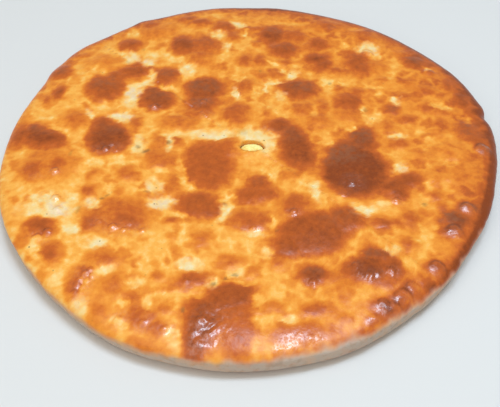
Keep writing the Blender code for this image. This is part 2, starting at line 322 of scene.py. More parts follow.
# %% The pale creases and patches: x, y, half length, half width in mm, turn, browning
PALE = (
    # round the vent and to its left
    (-6.2, 2.5, 1.7, 4, 0, 0.3), (3, 8, 9, 6, 0, 0.03), (9, 0, 4, 6, 0, 0.08), (-22, 10, 20, 3.5, 0, 0.08),
    (-19, 8, 5, 2.5, 0, 0.0), (5, -14, 8, 9, 0, 0.27), (12, -22, 3.5, 7, -15, 0.14),
    (-47, 3, 2, 7, 0, 0.04), (-44, 10, 8, 3, 0, 0.15), (-38, -22, 2.5, 12, 12, 0.18),
    (-33, -31, 3, 4, 0, 0.18), (-13, -40, 5, 3, 20, 0.18), (-14, -50, 3.5, 6, -20, 0.02),
    (34, -35, 2.6, 6, 10, 0.02), (30, -27, 4, 5, 0, 0.22), (-9, 44, 1.8, 5, 15, 0.06),
    (18, 44, 3, 3.5, 0, 0.07), (20, 28, 3, 5, 0, 0.24), (10, 37, 2.5, 5, 0, 0.27),
    (-27, 21, 3, 3, -30, 0.2), (-17, 19, 3, 4, 0, 0.22), (44, 4, 4, 4, 0, 0.26),
    (36, 28, 2.5, 4, 0, 0.26), (8, -77, 3.5, 4, 0, 0.12), (1, -64, 5, 3, 0, 0.08),
    (11, -57, 2, 6, 0, 0.22), (1, -75, 2.5, 5, 0, 0.2),
    # front left
    (-72, 39, 4, 4.5, 0, 0.06), (-76, 25, 6.5, 4, -15, 0.0), (-87, 34, 6, 3, 0, 0.22), (-94, 28, 2, 4, 30, 0.08),
    (-66, 28, 3, 5, 0, 0.26), (-110, 14, 9, 1.6, -38, 0.2), (-102, 7, 4, 4, 0, 0.28),
    (-64, 0, 4, 7, 15, 0.05), (-62, 10, 3, 4, 0, 0.2), (-86, -12, 6, 3, 0, 0.16), (-72, -12, 5, 4, 0, 0.18),
    (-93, -20, 4, 7, 0, 0.28), (-125, -33, 4, 5, 0, 0.22), (-112, -38, 7, 3.5, 0, 0.06),
    (-104, -47, 9, 4.5, 0, 0.0), (-96, -42, 4, 8, 10, 0.14), (-118, -46, 8, 4.5, 0, 0.1),
    (-86, -43, 4, 3.5, 0, 0.08), (-95, -54, 5, 7, 0, 0.16), (-93, -61, 4, 3.5, 0, 0.06),
    (-53, -31, 4, 6, 0, 0.07), (-48, -43, 6.5, 4, 0, 0.04), (-52, -19, 5, 2.5, 0, 0.16),
    (-76, -34, 3, 3, 0, 0.18), (-111, -73, 2.6, 9, 12, 0.16), (-80, -71, 4.5, 3.5, 0, 0.03),
    (-97, -91, 4, 7, 20, 0.14), (-84, -108, 3.5, 5, 10, 0.08), (-73, -89, 5, 2.5, 25, 0.1),
    (-54, -85, 4, 4.5, 0, 0.16), (-58, -96, 4, 3, 0, 0.12), (-31, -86, 5.5, 4, 0, 0.05),
    (-37, -104, 14, 1.8, 0, 0.22), (-50, -108, 2.5, 4, 0, 0.12), (-36, -67, 2.5, 7, 0, 0.16),
    (-38, -52, 7, 2.5, -20, 0.22), (-63, -107, 4, 2.6, 0, 0.16), (-37, -128, 3, 5, 0, 0.1),
    (-62, -121, 4, 3, 0, 0.16), (-67, -117, 4, 2.5, 0, 0.12),
    # front right
    (-19, -97, 4, 3.5, 0, 0.08), (-8, -91, 4, 2.5, 0, 0.1), (-5, -96, 9, 2, 5, 0.22),
    (4, -106, 3.5, 6, 0, 0.24), (5, -120, 5, 4.5, 0, 0.2), (18, -118, 4, 2, 0, 0.08),
    (4, -133, 4, 4, 0, 0.25), (57, -49, 5, 3.5, -20, 0.0), (64, -47, 2.5, 3, 0, 0.04), (70, -45, 2.5, 3, 0, 0.1),
    (71, -76, 3.5, 3.5, 0, 0.06), (78, -82, 4.5, 5, 0, 0.25), (87, -72, 4.5, 10, -10, 0.22),
    (92, -62, 4, 6, -15, 0.24), (93, -40, 3, 6, 0, 0.26),
    # right
    (69, 24, 4, 4.5, 0, 0.12), (74, 27, 3, 4, 0, 0.22), (85, 39, 2.6, 4, 0, 0.06),
    (109, 37, 4, 2, 0, 0.16), (114, 34, 3, 2.5, 0, 0.2), (83, 10, 4.5, 2.5, 0, 0.04),
    (82, -16, 3.6, 4, 0, 0.05), (82, -8, 3.5, 6, 0, 0.26), (97, 12, 4, 3, 25, 0.25),
    (57, 15, 3, 3, 30, 0.16), (102, 5, 5, 3, 0, 0.3), (109, -12, 6, 2.5, 0, 0.3),
    (97, -30, 2.6, 4, 0, 0.16), (106, -30, 3, 4, 0, 0.24), (66, 31, 1.4, 3, 0, 0.12),
    (124, 25, 4, 3, 0, 0.34),
    # back
    (73, 90, 6, 5.5, 0, 0.02), (78, 84, 3, 5, 0, 0.14), (58, 92, 2.5, 3, 0, 0.2),
    (88, 75, 3, 8, 0, 0.26), (107, 69, 1.6, 3, -25, 0.08), (66, 111, 3, 2.5, 0, 0.26),
    (85, 63, 3, 5, 0, 0.26), (56, 56, 4, 3, 0, 0.2), (46, 55, 4, 8, 0, 0.16),
    (73, 52, 6, 1.6, 0, 0.2), (76, 46, 2, 4, 0, 0.16), (35, 64, 3.5, 5, 0, 0.3),
    (25, 64, 2.6, 4.5, -25, 0.08), (19, 68, 3, 3, 0, 0.12), (13, 73, 4, 1.5, -35, 0.2),
    (13, 56, 7, 2, 0, 0.1), (8, 50, 1.8, 4, 0, 0.06), (3, 48, 2.5, 4, 0, 0.16),
    (-8, 59, 5, 2.5, 0, 0.16), (27, 73, 3, 2.5, 0, 0.26), (22, 117, 13, 2.5, 0, 0.32),
    (-9, 116, 4, 3.5, 0, 0.03), (-21, 126, 5, 3, -30, 0.24), (-22, 104, 5, 3.5, 0, 0.08),
    (-4.5, 106, 1.4, 4, 0, 0.14), (-16, 93, 3, 5, 15, 0.1), (-17, 83, 3, 5, 0, 0.16),
    (-40, 69, 4.5, 5, 0, 0.05), (-38, 61, 4, 4, 0, 0.2), (-47, 78, 5, 3, 0, 0.12),
    # back left
    (-76, 107, 4.5, 4, 0, 0.14), (-61, 84, 9, 4, 0, 0.14), (-64, 76, 4.5, 3.5, 0, 0.04),
    (-76, 81, 4.5, 5, 0, 0.05), (-82, 86, 3, 2.5, 0, 0.12), (-60, 64, 2.5, 5, 20, 0.08),
    (-63, 57, 6, 2.5, 25, 0.03), (-70, 47, 4.5, 8, -20, 0.0), (-93, 67, 5, 3, -30, 0.16),
    (-107, 73, 3, 3.5, 0, 0.25), (-104, 66, 3, 2.5, 0, 0.27), (-50, 50, 6, 2.5, -25, 0.2),
    (-122, 30, 5, 5, 0, 0.3), (-115, 30, 5, 3, 0, 0.32), (-100, 61, 4, 3, 0, 0.3),
)
print(len(PALE), "pale patches")

# %% Small tight bubbles in the glaze: x, y, radius and rise in mm
BUBBLES = (
    # domes near the rim
    (93.5, -85.5, 4.5, 1.2), (79.5, -98.5, 3.8, 1.0), (74.5, -104.5, 5.2, 1.35), (64, -108.5, 3, 0.85),
    (69.5, -111, 3.8, 1.0), (59.5, -117.5, 3.2, 0.75), (130, -0.5, 4.4, 1.4), (115, -45.5, 4.4, 1.2),
    (105.5, -61, 4.4, 1.2), (107.5, -76, 2.8, 0.75), (89.5, -100, 2.2, 0.6), (108, 66, 3.6, 0.9),
    (72, 85, 3.6, 1.0),
    # in the dark blister at the front
    (-24, -120, 2.8, 0.62), (-18.5, -121, 2, 0.42), (-17, -124.5, 2.2, 0.48), (-21, -127, 2.2, 0.45),
    (-13, -116.5, 2, 0.5), (-25.5, -133, 2.6, 0.5), (-21, -132, 1.8, 0.35), (-28, -126, 1.8, 0.4),
    (-9, -136, 1.4, 0.25), (-3, -133, 1.4, 0.3),
    # in the long one beside it
    (13, -135, 2.4, 0.35), (17, -136.5, 2, 0.3), (20, -133.5, 2, 0.3), (24, -130.5, 2, 0.3),
    (28, -128, 2.4, 0.4), (32, -129, 2, 0.3),
    # front left
    (-41, -123.5, 2.2, 0.6), (-37, -127, 1.6, 0.4), (-52, -120, 2.2, 0.65), (-57.5, -114, 1.6, 0.45),
    (-64, -118, 2.6, 0.85), (-80, -88.5, 1.8, 0.65), (-82.5, -91, 2.2, 0.8), (-79, -92, 1.8, 0.6),
    (-84.5, -94, 2.2, 0.8), (-81.5, -95, 2, 0.7), (-86, -97.5, 2.2, 0.8), (-83, -98.5, 2, 0.7),
    (-87, -101.5, 2, 0.7), (-84.5, -102, 1.8, 0.6), (-88, -105.5, 2.2, 0.75), (-111, -66.5, 3.2, 1.25), (-106, -62.5, 2.4, 0.95), (-72, -61, 2.6, 1.05),
    (-66, -63, 1.8, 0.7), (-56, -63, 1.8, 0.7), (-79.5, -57, 1.6, 0.6), (-103, -47, 2.6, 1.1),
    (-105, -39, 2.6, 1.1), (-86, -43, 1.8, 0.7), (-108, -20, 2.4, 1.05), (-82, -3, 2, 0.85),
    (-76, -4.5, 1.6, 0.65), (-86.5, -4, 1.5, 0.6), (-57, 33, 2.2, 1.05), (-28.5, 37.5, 2.2, 1.05),
    # the middle and front right
    (-9, 45, 2, 0.95), (54, -30.5, 2.2, 0.9), (49, -38, 1.4, 0.5), (22, -51, 2.2, 0.85), (77, -42, 2.2, 0.8),
    (0.5, -62, 1.8, 0.65), (58, -93, 2.6, 0.7), (62, -91.5, 1.8, 0.5), (69, -90, 2.6, 0.75),
    (52, -86, 2, 0.6), (30, -96.5, 2.2, 0.6), (-32, -96.5, 1.8, 0.55), (6, -75, 1.6, 0.5),
)
print(len(BUBBLES), "small bubbles")

# %% [markdown]
# ## From a table to a map
# An oval with a hard edge would look stamped on. Two things make it bread. The place where a
# point reads the table is pushed about by noise, so that every edge wanders, and each edge is
# a soft step a few millimetres wide, so that brown passes through orange into gold. Where two
# blisters meet, the browner one counts.

# %% Reading the tables
def wander(x, y, far, cell, seed):
    """The point moved by two noises, up to about far in each direction."""
    return x + far * layered_noise(x, y, cell, seed), y + far * layered_noise(x, y, cell, seed + 9)


def oval_reach(x, y, row, grow=0.0):
    """How far out a point lies in an oval of a table: 0 at its middle, 1 on its edge. It is the
    root of along^2 + across^2, each measured in half sizes that are grow larger."""
    middle_x, middle_y, half_length, half_width, turn = row[:5]
    cosine, sine = math.cos(math.radians(turn)), math.sin(math.radians(turn))
    dx, dy = x - middle_x * MM, y - middle_y * MM
    along = (dx * cosine + dy * sine) / (half_length * MM + grow)
    across = (dy * cosine - dx * sine) / (half_width * MM + grow)
    return np.sqrt(along**2 + across**2)


def oval_cover(x, y, row, softness):
    """1 inside an oval, 0 outside, over a soft edge: a smooth step of (reach - 1) in metres."""
    narrow = min(row[2], row[3]) * MM
    soft = min(softness, 0.55 * narrow)
    return 1 - smooth_step((oval_reach(x, y, row) - 1) * narrow, -soft, soft)


def way_out(x, y):
    """How far out a point lies: its distance from the middle over the edge's distance there."""
    angle = np.arctan2(y, x)
    return np.hypot(x, y) / np.hypot(*edge_points(angle))


def golden_ground(x, y):
    """The crust between the blisters. It is a foam of small bubbles, orange where each one
    rises and creamy along their borders. The rim, the right and the back had more heat, and a thin dark line at the
    very rim, strongest at the back, is painted shade."""
    warped_x, warped_y = wander(x, y, 2.4 * MM, 7 * MM, 25)
    depth, luck = cell_noise(warped_x, warped_y, 9 * MM, 27)
    risen = smooth_step(depth, 0.0, 0.5) * (0.1 + 0.9 * luck)
    behind = (x + 0.8 * y) / RADIUS
    out = way_out(x, y)
    rim = smooth_step(out, 0.87, 1.0) * (0.22 + 0.15 * behind)
    rim += smooth_step(out, 0.955, 1.0) * (0.1 + 0.12 * behind)
    # A thin darker line along the very rim, strongest at the back, is painted shade along the silhouette.
    rim += smooth_step(out, 0.965, 0.99) * 0.3 * smooth_step(behind, -0.5, 0.6)
    heat = 0.05 * behind + 0.05 * np.clip(behind, 0, 1) + 0.05 * np.clip(x / RADIUS, 0, 1)
    return 0.28 + heat + 0.26 * risen + rim + 0.05 * layered_noise(x, y, 34 * MM, 21)


def browning(x, y):
    """How brown the crust is: the golden ground, lifted to orange round each browned oval and
    to its own browning inside it, pulled back by each pale one, lifted again by painted shade
    along the far edge of each small bubble, and mottled by noise. Also how far bare curd shows."""
    ground = golden_ground(x, y)
    near_x, near_y = wander(x, y, 1.1 * MM, 4.5 * MM, 35)
    wide_x, wide_y = wander(near_x, near_y, 1.5 * MM, 13 * MM, 31)
    brown = ground
    for row in BROWNED:
        narrow = min(row[2], row[3]) * MM
        out = oval_reach(wide_x, wide_y, row)
        outside = (out - 1) * narrow
        soft = min(5 * MM, 0.8 * narrow)
        cover = smooth_step(outside, soft, -soft) * (0.94 + 0.09 * np.clip(1 - out, -0.5, 1))
        halo = smooth_step(outside, 4.5 * MM, 0) * smooth_step(row[5], 0.6, 0.85)
        edge = ground + np.maximum(0.5 - ground, 0) * halo
        brown = np.maximum(brown, edge + (row[5] - edge) * cover)
    torn_x, torn_y = wander(wide_x, wide_y, 1.3 * MM, 3.5 * MM, 37)
    torn = 0.8 + 0.5 * layered_noise(x, y, 5 * MM, 39)
    curd = np.zeros_like(x)
    for row in PALE:
        cover = np.clip(oval_cover(torn_x, torn_y, row, 3.2 * MM) * torn, 0, 1)
        cover *= smooth_step(brown, 0.95, 0.6)
        brown += (np.minimum(row[5], brown) - brown) * cover
        curd = np.maximum(curd, cover * smooth_step(row[5], 0.16, 0.0))
    for middle_x, middle_y, radius, rise in BUBBLES:
        dx, dy = (x - middle_x * MM) / (radius * MM), (y - middle_y * MM) / (radius * MM)
        # Darker brown along the far edge of each small bubble is painted shade, as if lit from the front.
        painted_far_shade = np.exp(-(((np.hypot(dx, dy) - 0.95) / 0.2) ** 2)) * smooth_step(dy, -0.6, 0.8)
        brown += 0.18 * rise * painted_far_shade
    patchy = 0.07 * layered_noise(x, y, 9 * MM, 43) + 0.07 * layered_noise(x, y, 4 * MM, 41)
    return np.clip(brown + patchy * smooth_step(brown, 1.6, 0.3), 0, 1), curd


# %% [markdown]
# ## Sheen and specks
# Two small things are not on the way from cream to brown. The tops of the darkest blisters
# get a dull grey-brown painted sheen, and a few olive specks of cheese broke through the pale crust.

# %% Spots of painted sheen on blister tops, and specks: x, y, half length, half width in mm, turn, strength
PAINTED_SHEEN_SPOTS = (
    (51, -7, 12, 8, 20, 1.0), (61, 10, 7, 8, 0, 0.9), (-29, 52, 10, 7, 0, 0.8),
    (-30, 38, 8, 4, 0, 0.6), (26, 92, 8, 5, 0, 0.7), (15, 108, 6, 4, 0, 0.6),
    (122, 16, 7, 8, 0, 0.9), (104, -52, 8, 6, 0, 1.0), (-89, 56, 9, 7, 0, 0.7),
    (-121, 18, 9, 6, -20, 0.6), (31, 52, 9, 6, 0, 0.7), (101, 79, 4, 4, 0, 0.8),
    (130, 0, 4, 4, 0, 0.8), (116, -44, 5, 4, 0, 0.7), (-31, 94, 9, 7, 0, 0.5),
    (-52, 65, 6, 4, 0, 0.6), (-56, 44, 8, 6, 0, 0.5), (60, -77, 8, 4, 0, 0.7),
    (31, -88, 6, 4, 0, 0.6), (4, -26, 6, 4, 0, 0.4), (45, -53, 10, 5, 20, 0.4),
    (110, 66, 3, 3, 0, 0.6), (-82, 14, 8, 6, 0, 0.4), (22, 10, 7, 8, 0, 0.4),
    (-117, 69, 5, 5, 0, 0.6), (52, 114, 4, 3, 0, 0.7), (83, 33, 5, 4, 0, 0.5),
)
SPECKS = (
    (-59, -5, 2.4, 1.3, 30, 1.0), (-64, -1, 1.2, 1.2, 0, 0.8), (-47, 3, 1.2, 1.6, 0, 0.8),
    (-80, -40, 1.4, 1.2, 0, 0.9), (-77, -38, 1, 1, 0, 0.7), (-56, -35, 1.2, 1, 0, 0.5),
    (-14, -44, 1.0, 2.2, 20, 0.5), (-19, -97, 1.3, 1, 0, 0.9), (-13, -94, 1.2, 1, 0, 0.8),
    (-8, -91, 1.4, 1, 0, 0.8), (-33, -113, 1, 1, 0, 0.8), (-92, -47, 1.2, 2.4, 0, 0.5),
    (92, -43, 1.2, 1.2, 0, 0.7), (47, 56, 1.2, 1.2, 0, 0.6), (67, 32, 1, 1.6, 0, 0.6),
    (-68, 90, 1.2, 1, 0, 0.4), (13, -63, 1, 1, 0, 0.6), (-101, -5, 0.8, 2, 0, 0.4),
    (5, 66, 1, 1, 0, 0.5), (-5, 11, 3, 2.4, 0, 0.3), (-41, 122, 1.4, 1, 0, 0.4),
)


def strongest(x, y, table, softness):
    """The largest strength of the ovals that cover a point, over soft and wandering edges."""
    near_x, near_y = wander(x, y, 0.8 * MM, 4 * MM, 63)
    found = np.zeros_like(x)
    for row in table:
        found = np.maximum(found, row[5] * oval_cover(near_x, near_y, row, softness))
    return found


print(len(PAINTED_SHEEN_SPOTS), "sheen_painted spots and", len(SPECKS), "specks")

# %% [markdown]
# ## Relief
# The same rows lift the surface. Each dome is a little wider than its browned cap, because
# only the top of a blister takes colour. Between the domes the skin is drawn tight and then
# sinks as it cools, which leaves fine wrinkles: noise whose absolute value is taken has sharp
# valleys, and looks like skin that has shrunk.

# %% Height of the crust over the plain top
BLISTER_RISE = 2.0 * MM
FULL_RISE_WIDTH = 12 * MM
FACED = 180  # mm in front of the middle: where the steep side of each small bubble looks
SWELLS = ((95 * MM, 0.45 * MM, 25), (70 * MM, 0.35 * MM, 110), (48 * MM, 0.25 * MM, 165))


def blisters(x, y):
    """The highest of the domes over a point: rise times (1 - reach^2)^1.5 for each."""
    wide_x, wide_y = wander(x, y, 1.5 * MM, 13 * MM, 31)
    height = np.zeros_like(x)
    for row in BROWNED:
        narrow = min(row[2], row[3]) * MM + 2 * MM
        dome = np.clip(1 - oval_reach(wide_x, wide_y, row, 2 * MM) ** 2, 0, 1) ** 1.5
        strength = BLISTER_RISE * min(0.75, narrow / FULL_RISE_WIDTH) * (0.3 + 0.65 * row[5])
        height = np.maximum(height, strength * dome)
    return height


def hollows(x, y):
    """Pale patches lie low: minus a third of a millimetre times their cover."""
    deepest = np.zeros_like(x)
    for row in PALE:
        deepest = np.maximum(deepest, oval_cover(x, y, row, 3 * MM))
    return -0.35 * MM * deepest


def swells(x, y):
    """Three slow sine waves, each along its own direction."""
    height = np.zeros_like(x)
    for wavelength, size, direction in SWELLS:
        along = x * math.cos(math.radians(direction)) + y * math.sin(math.radians(direction))
        height += size * np.sin(along * 2 * math.pi / wavelength)
    return height


def wrinkles(x, y):
    """Skin that shrank: the absolute value of noise, at two sizes, less its mean."""
    wide_x, wide_y = wander(x, y, 2 * MM, 9 * MM, 51)
    coarse = np.abs(gradient_noise(wide_x, wide_y, 7 * MM, 53))
    fine = np.abs(gradient_noise(wide_x, wide_y, 3.2 * MM, 55))
    return 0.22 * MM * (coarse - 0.3) + 0.1 * MM * (fine - 0.3)


# Where the glazed skin puckered: x, y, half length, half width in mm, turn, strength
PUCKERED = (
    (-20, -122, 10, 12, 0, 0.85), (-25, -134, 4, 6, 0, 0.9), (-8, -117, 7, 4, 0, 0.5),
    (24, -129, 11, 4, 5, 0.6), (15, -135, 5, 4, 0, 0.7), (-84, -95, 5, 9, 10, 0.85),
    (-87, -107, 3, 4, 0, 0.5), (-52, -121, 6, 4, 0, 0.5), (-63, -118, 5, 5, 0, 0.5),
    (-40, -124, 4, 4, 0, 0.5), (-110, -66, 6, 5, 0, 0.8), (-108, -40, 13, 7, 0, 0.5),
    (-66, -62, 13, 5, 0, 0.75), (-80, -57, 5, 4, 0, 0.55), (-81, -2, 9, 4, 0, 0.75),
    (-108, -20, 4, 3, 0, 0.6), (-118, -23, 5, 3, 0, 0.5), (-30, 37, 6, 3, 30, 0.7),
    (-57, 33, 4, 3, 0, 0.6), (-26, 27, 4, 3, 0, 0.6), (-9, 45, 3, 3, 0, 0.6),
    (0, -62, 6, 3, 0, 0.5), (22, -51, 4, 3, 0, 0.6), (55, -28, 7, 6, 0, 0.6), (49, -38, 4, 3, 0, 0.5),
    (77, -42, 4, 3, 0, 0.6), (60, -92, 8, 4, 0, 0.7), (70, -90, 4, 4, 0, 0.6), (52, -86, 4, 3, 0, 0.6),
    (29, -96, 5, 3, 0, 0.6), (105, -61, 5, 4, 0, 0.6), (114, -45, 5, 4, 0, 0.5),
    (93, -86, 4.5, 4.5, 0, 0.55), (79, -99, 4, 4.5, 0, 0.55), (74, -106, 5, 5, 0, 0.6),
    (66, -111, 6, 4.5, 0, 0.65), (59, -118, 4, 3, 0, 0.55), (130, -1, 4.5, 4.5, 0, 0.5),
    (89, -99, 2.5, 3, 0, 0.6), (51, 111, 3, 2, 0, 0.6), (14, 92, 3, 3, 0, 0.6),
)


def bubbles(x, y):
    """The highest of the small bubbles over a point. Each is rise times (1 - u^4 - v^2) times
    (1 + 0.6 v), where v, in radii, runs away from one point in front of the loaf and u across,
    so that it leans back and the slope that faces that point is even."""
    height = np.zeros_like(x)
    for middle_x, middle_y, radius, rise in BUBBLES:
        back = math.atan2(middle_x, middle_y + FACED)
        across, along = (x / MM - middle_x) / radius, (y / MM - middle_y) / radius
        u = across * math.cos(back) - along * math.sin(back)
        v = across * math.sin(back) + along * math.cos(back)
        height = np.maximum(height, rise * MM * np.clip(1 - u**4 - v**2, 0, 1) * (1 + 0.6 * v))
    return height


def puckers(x, y):
    """The glazed skin gathered into short folds, where the table says that it puckered: noise
    in cells 5 mm wide, times the share squared, plus noise in cells 2.3 mm wide."""
    share = strongest(x, y, PUCKERED, 3 * MM)
    wide_x, wide_y = wander(x, y, 1.5 * MM, 6 * MM, 59)
    folds = 0.8 * MM * share * gradient_noise(wide_x, wide_y, 5 * MM, 57)
    return share * (folds + 0.4 * MM * gradient_noise(wide_x, wide_y, 2.3 * MM, 58))


def relief(x, y):
    """Everything that stands over or lies under the plain top."""
    raised = blisters(x, y) + bubbles(x, y) + swells(x, y)
    return raised + hollows(x, y) + wrinkles(x, y) + puckers(x, y)


across = np.linspace(-120, 120, 241) * MM
print("relief, mm:", round(float(relief(across, across * 0).max() / MM), 2), "at most on the middle line")

# %% [markdown]
# ## A square grid bent into a disc
# A disc could be made of rings, but then its points crowd together in the middle. A square
# grid whose squares are each bent into a circle has cells of nearly one size all over, so one
# millimetre of detail costs the same everywhere. The few cells in the middle are left out,
# and the hole is the vent.

# %% The disc grid
def disc_grid(cells, hole=0):
    """Squares round a middle, each bent into a circle. The larger of |u| and |v| says which
    square a point is on, and the smaller over the larger, times 45 degrees, its turn within
    the quarter. Returns angles, shares of the way out, quads, and the loops at both ends."""
    u, v = np.meshgrid(np.arange(-cells, cells + 1), np.arange(-cells, cells + 1))
    square = np.maximum(abs(u), abs(v))
    beside = abs(u) >= abs(v)
    turn_beside = math.pi / 4 * v / np.where(beside & (u != 0), u, 1) + math.pi * (u < 0)
    turn_above = math.pi / 2 - math.pi / 4 * u / np.where(beside, 1, v) + math.pi * (v < 0)
    angle = np.where(beside, turn_beside, turn_above)
    kept = square >= hole
    number = (np.cumsum(kept) - 1).reshape(kept.shape)
    corners = [number[:-1, :-1], number[:-1, 1:], number[1:, 1:], number[1:, :-1]]
    outer = np.maximum(np.maximum(square[:-1, :-1], square[1:, 1:]),
                       np.maximum(square[:-1, 1:], square[1:, :-1]))
    quads = np.stack([corner[outer > hole] for corner in corners], axis=1)
    angle, square = angle[kept], square[kept]

    def loop(level):
        members = np.flatnonzero(square == level)
        return members[np.argsort(angle[members])]

    return angle, (square - hole) / (cells - hole), quads, loop(hole), loop(cells)


TOP_CELLS, VENT_CELLS = 132, 6
top_angle, top_share, top_quads, vent_loop, rim_loop = disc_grid(TOP_CELLS, VENT_CELLS)
print("top:", len(top_angle), "points,", len(vent_loop), "round the vent,", len(rim_loop), "at the rim")

# %% [markdown]
# ## The top crust
# The top runs from the vent's oval to the shoulder. Every point is a mix of the two curves at
# its angle, which carries the hand-pressed outline smoothly inwards until it becomes the oval.

# %% The top crust
VENT_LIP = 0.8 * MM
COLLAR_SHARE = 0.05
SETTLE_POWER = 12
RIM_RELIEF = 0.6  # share of the relief that is left at the shoulder
ROLL, ROLL_FROM = 1.5 * MM, 0.86  # the top bends down this much over its last seventh


def top_points(angle, share):
    """vent * (1 - share) + shoulder * share, at the crown's height plus the lip, which is
    e^-(share / 0.05)^2, plus the relief, which dies down towards the shoulder, less the square
    of the way through the last seventh, where the top bends down."""
    vent_x, vent_y = vent_points(angle, torn=1)
    edge_x, edge_y = edge_points(angle, SHOULDER_WIDTH, marks=1)
    x = vent_x * (1 - share) + edge_x * share
    y = vent_y * (1 - share) + edge_y * share
    lip = VENT_LIP * np.exp(-((share / COLLAR_SHARE) ** 2))
    lip *= 1 + 0.5 * gradient_noise(x, y, 5 * MM, 61)
    settled = 1 - (1 - RIM_RELIEF) * share**SETTLE_POWER
    bent = ROLL * np.clip((share - ROLL_FROM) / (1 - ROLL_FROM), 0, 1) ** 2
    height = EDGE_HEIGHT + CROWN * (1 - share**2) + lip + relief(x, y) * settled - bent
    return np.stack([x, y, height], axis=1)


top = top_points(top_angle, top_share)
print("top stands", round(top[:, 2].min() / MM, 1), "to", round(top[:, 2].max() / MM, 1), "mm high")

# %% [markdown]
# ## The side and the underside
# The side is one profile carried round the outline: a quarter ellipse over the shoulder, a
# short upright part, and a quarter ellipse under, down to the surface that the loaf lies on.
# Dough that has been folded shut keeps faint pleats there, so noise moves it in and out. The
# underside is a coarser disc grid. It is flat where it rests, and only ever hollows upwards.

# %% The side's profile, carried round
SHOULDER_STEPS, UNDER_STEPS = 8, 7
SHOULDER_START = math.radians(20)  # where the quarter ellipse takes over from the bent top
PLEAT = 0.8 * MM


def side_points(angle):
    """Rings of points (ring, angle, 3): the inset and the height of each profile step, at every
    angle of the rim, with pleats that fade out at both ends of the profile."""
    over = np.linspace(SHOULDER_START, math.pi / 2, SHOULDER_STEPS + 1)[1:]
    under = np.linspace(0, math.pi / 2, UNDER_STEPS + 1)
    out, left_over = (1 - np.sin(over)) / (1 - math.sin(SHOULDER_START)), np.cos(over) / math.cos(SHOULDER_START)
    inset = np.concatenate([SHOULDER_WIDTH * out, UNDER_WIDTH * (1 - np.cos(under))])[:, None]
    shoulder_foot = EDGE_HEIGHT - SHOULDER_HEIGHT
    height = np.concatenate(
        [shoulder_foot + (SHOULDER_HEIGHT - ROLL) * left_over, UNDER_HEIGHT * (1 - np.sin(under))]
    )[:, None]
    left = np.concatenate([left_over, under * 0])[:, None]
    ring_angle = np.tile(angle, (len(inset), 1))
    x, y = edge_points(ring_angle, inset)
    pleats = layered_noise(x + height * 0.7, y - height * 0.7, 11 * MM, 71)
    upright = np.sin(math.pi * np.clip(height / EDGE_HEIGHT, 0, 1)) ** 2
    marks = smooth_step(height, 6 * MM, 13 * MM)
    x, y = edge_points(ring_angle, inset - PLEAT * 0.5 * pleats * upright, marks)
    z = height + relief(x, y) * RIM_RELIEF * left
    return np.stack([x, y, np.broadcast_to(z, x.shape)], axis=2)


side = side_points(top_angle[rim_loop])
print("side:", side.shape[0], "rings of", side.shape[1], "points")


# %% The underside
UNDER_CELLS = 33
under_angle, under_share, under_quads, _, under_loop = disc_grid(UNDER_CELLS)


def under_points(angle, share):
    """A level disc within the foot of the side: foot times share, hollowed upwards by noise."""
    foot_x, foot_y = edge_points(angle, UNDER_WIDTH + 1.5 * MM)
    x, y = foot_x * share, foot_y * share
    hollow = np.clip(layered_noise(x, y, 22 * MM, 81), 0, 1) * (1 - share**4)
    return np.stack([x, y, 0.6 * MM * hollow], axis=1)


under = under_points(under_angle, under_share)
print("underside:", len(under), "points, hollow up to", round(under[:, 2].max() / MM, 2), "mm")

# %% [markdown]
# ## The room inside
# The bread is hollow: a thin wall of dough goes all round the cheese. Nobody sees it, but a
# closed wall keeps light from leaking, and the vent needs an inside. A few rings are enough.

# %% The vent's wall and the room for the cheese
def room_loops(angle, clearance=0.0):
    """Rims of the room, moved in by clearance: ceiling's edge, widest rim and floor's edge."""
    floor, ceiling = DOUGH + clearance, EDGE_HEIGHT - DOUGH - clearance
    inset = EDGE_DOUGH + clearance
    sizes = ((inset + ROOM_CORNER, ceiling), (inset, (floor + ceiling) / 2), (inset + ROOM_CORNER, floor))
    rims = [(*edge_points(angle, size), np.full_like(angle, height)) for size, height in sizes]
    return [np.stack(rim, axis=1) for rim in rims]


def between(first, second, shares):
    """Loops part of the way from one loop to another."""
    return [first * (1 - share) + second * share for share in shares]


vent_angle = top_angle[vent_loop]
ceiling_edge, widest, floor_edge = room_loops(vent_angle)
foot = np.stack([*vent_points(vent_angle), np.full_like(vent_angle, EDGE_HEIGHT + CROWN - DOUGH)], axis=1)
wall = between(top[vent_loop], foot, (0.25, 0.5, 0.75, 1))
middle_floor = np.zeros_like(foot) + (0, 0, DOUGH)
room = np.array([
    *wall, *between(foot, ceiling_edge, (0.1, 0.5, 1)), widest, floor_edge,
    *between(floor_edge, middle_floor, (0.5, 0.98)),
])
print("room:", len(room), "loops of", room.shape[1], "points")

# %% [markdown]
# ## Joining the parts
# Parts that share their border points close up without a seam and are shaded as one skin.
# So every part hands over the numbers of its border loop, and a strip of quads joins loop to
# loop. Where 1056 points meet 264, four fine steps share one coarse step.

# %% Strips between loops
def strip(first, second):
    """Quads between two loops with as many points: first, next first, next second, second."""
    return np.stack([first, np.roll(first, -1), np.roll(second, -1), second], axis=1)


def triangles(quads):
    """Each quad as two triangles."""
    return np.concatenate([quads[:, [0, 1, 2]], quads[:, [0, 2, 3]]])


def four_to_one(fine, coarse):
    """Triangles between a loop and one with a quarter of its points. Of the four fine steps
    the first two lean on the coarse point before them, and the last two on the one after."""
    fine = fine.reshape(-1, 4)
    last, after = np.roll(fine[:, 0], -1), np.roll(coarse, -1)
    corners = (
        (fine[:, 0], fine[:, 1], coarse), (fine[:, 1], fine[:, 2], coarse),
        (fine[:, 2], fine[:, 3], after), (fine[:, 3], last, after), (fine[:, 2], after, coarse),
    )
    return np.concatenate([np.stack(three, axis=1) for three in corners])


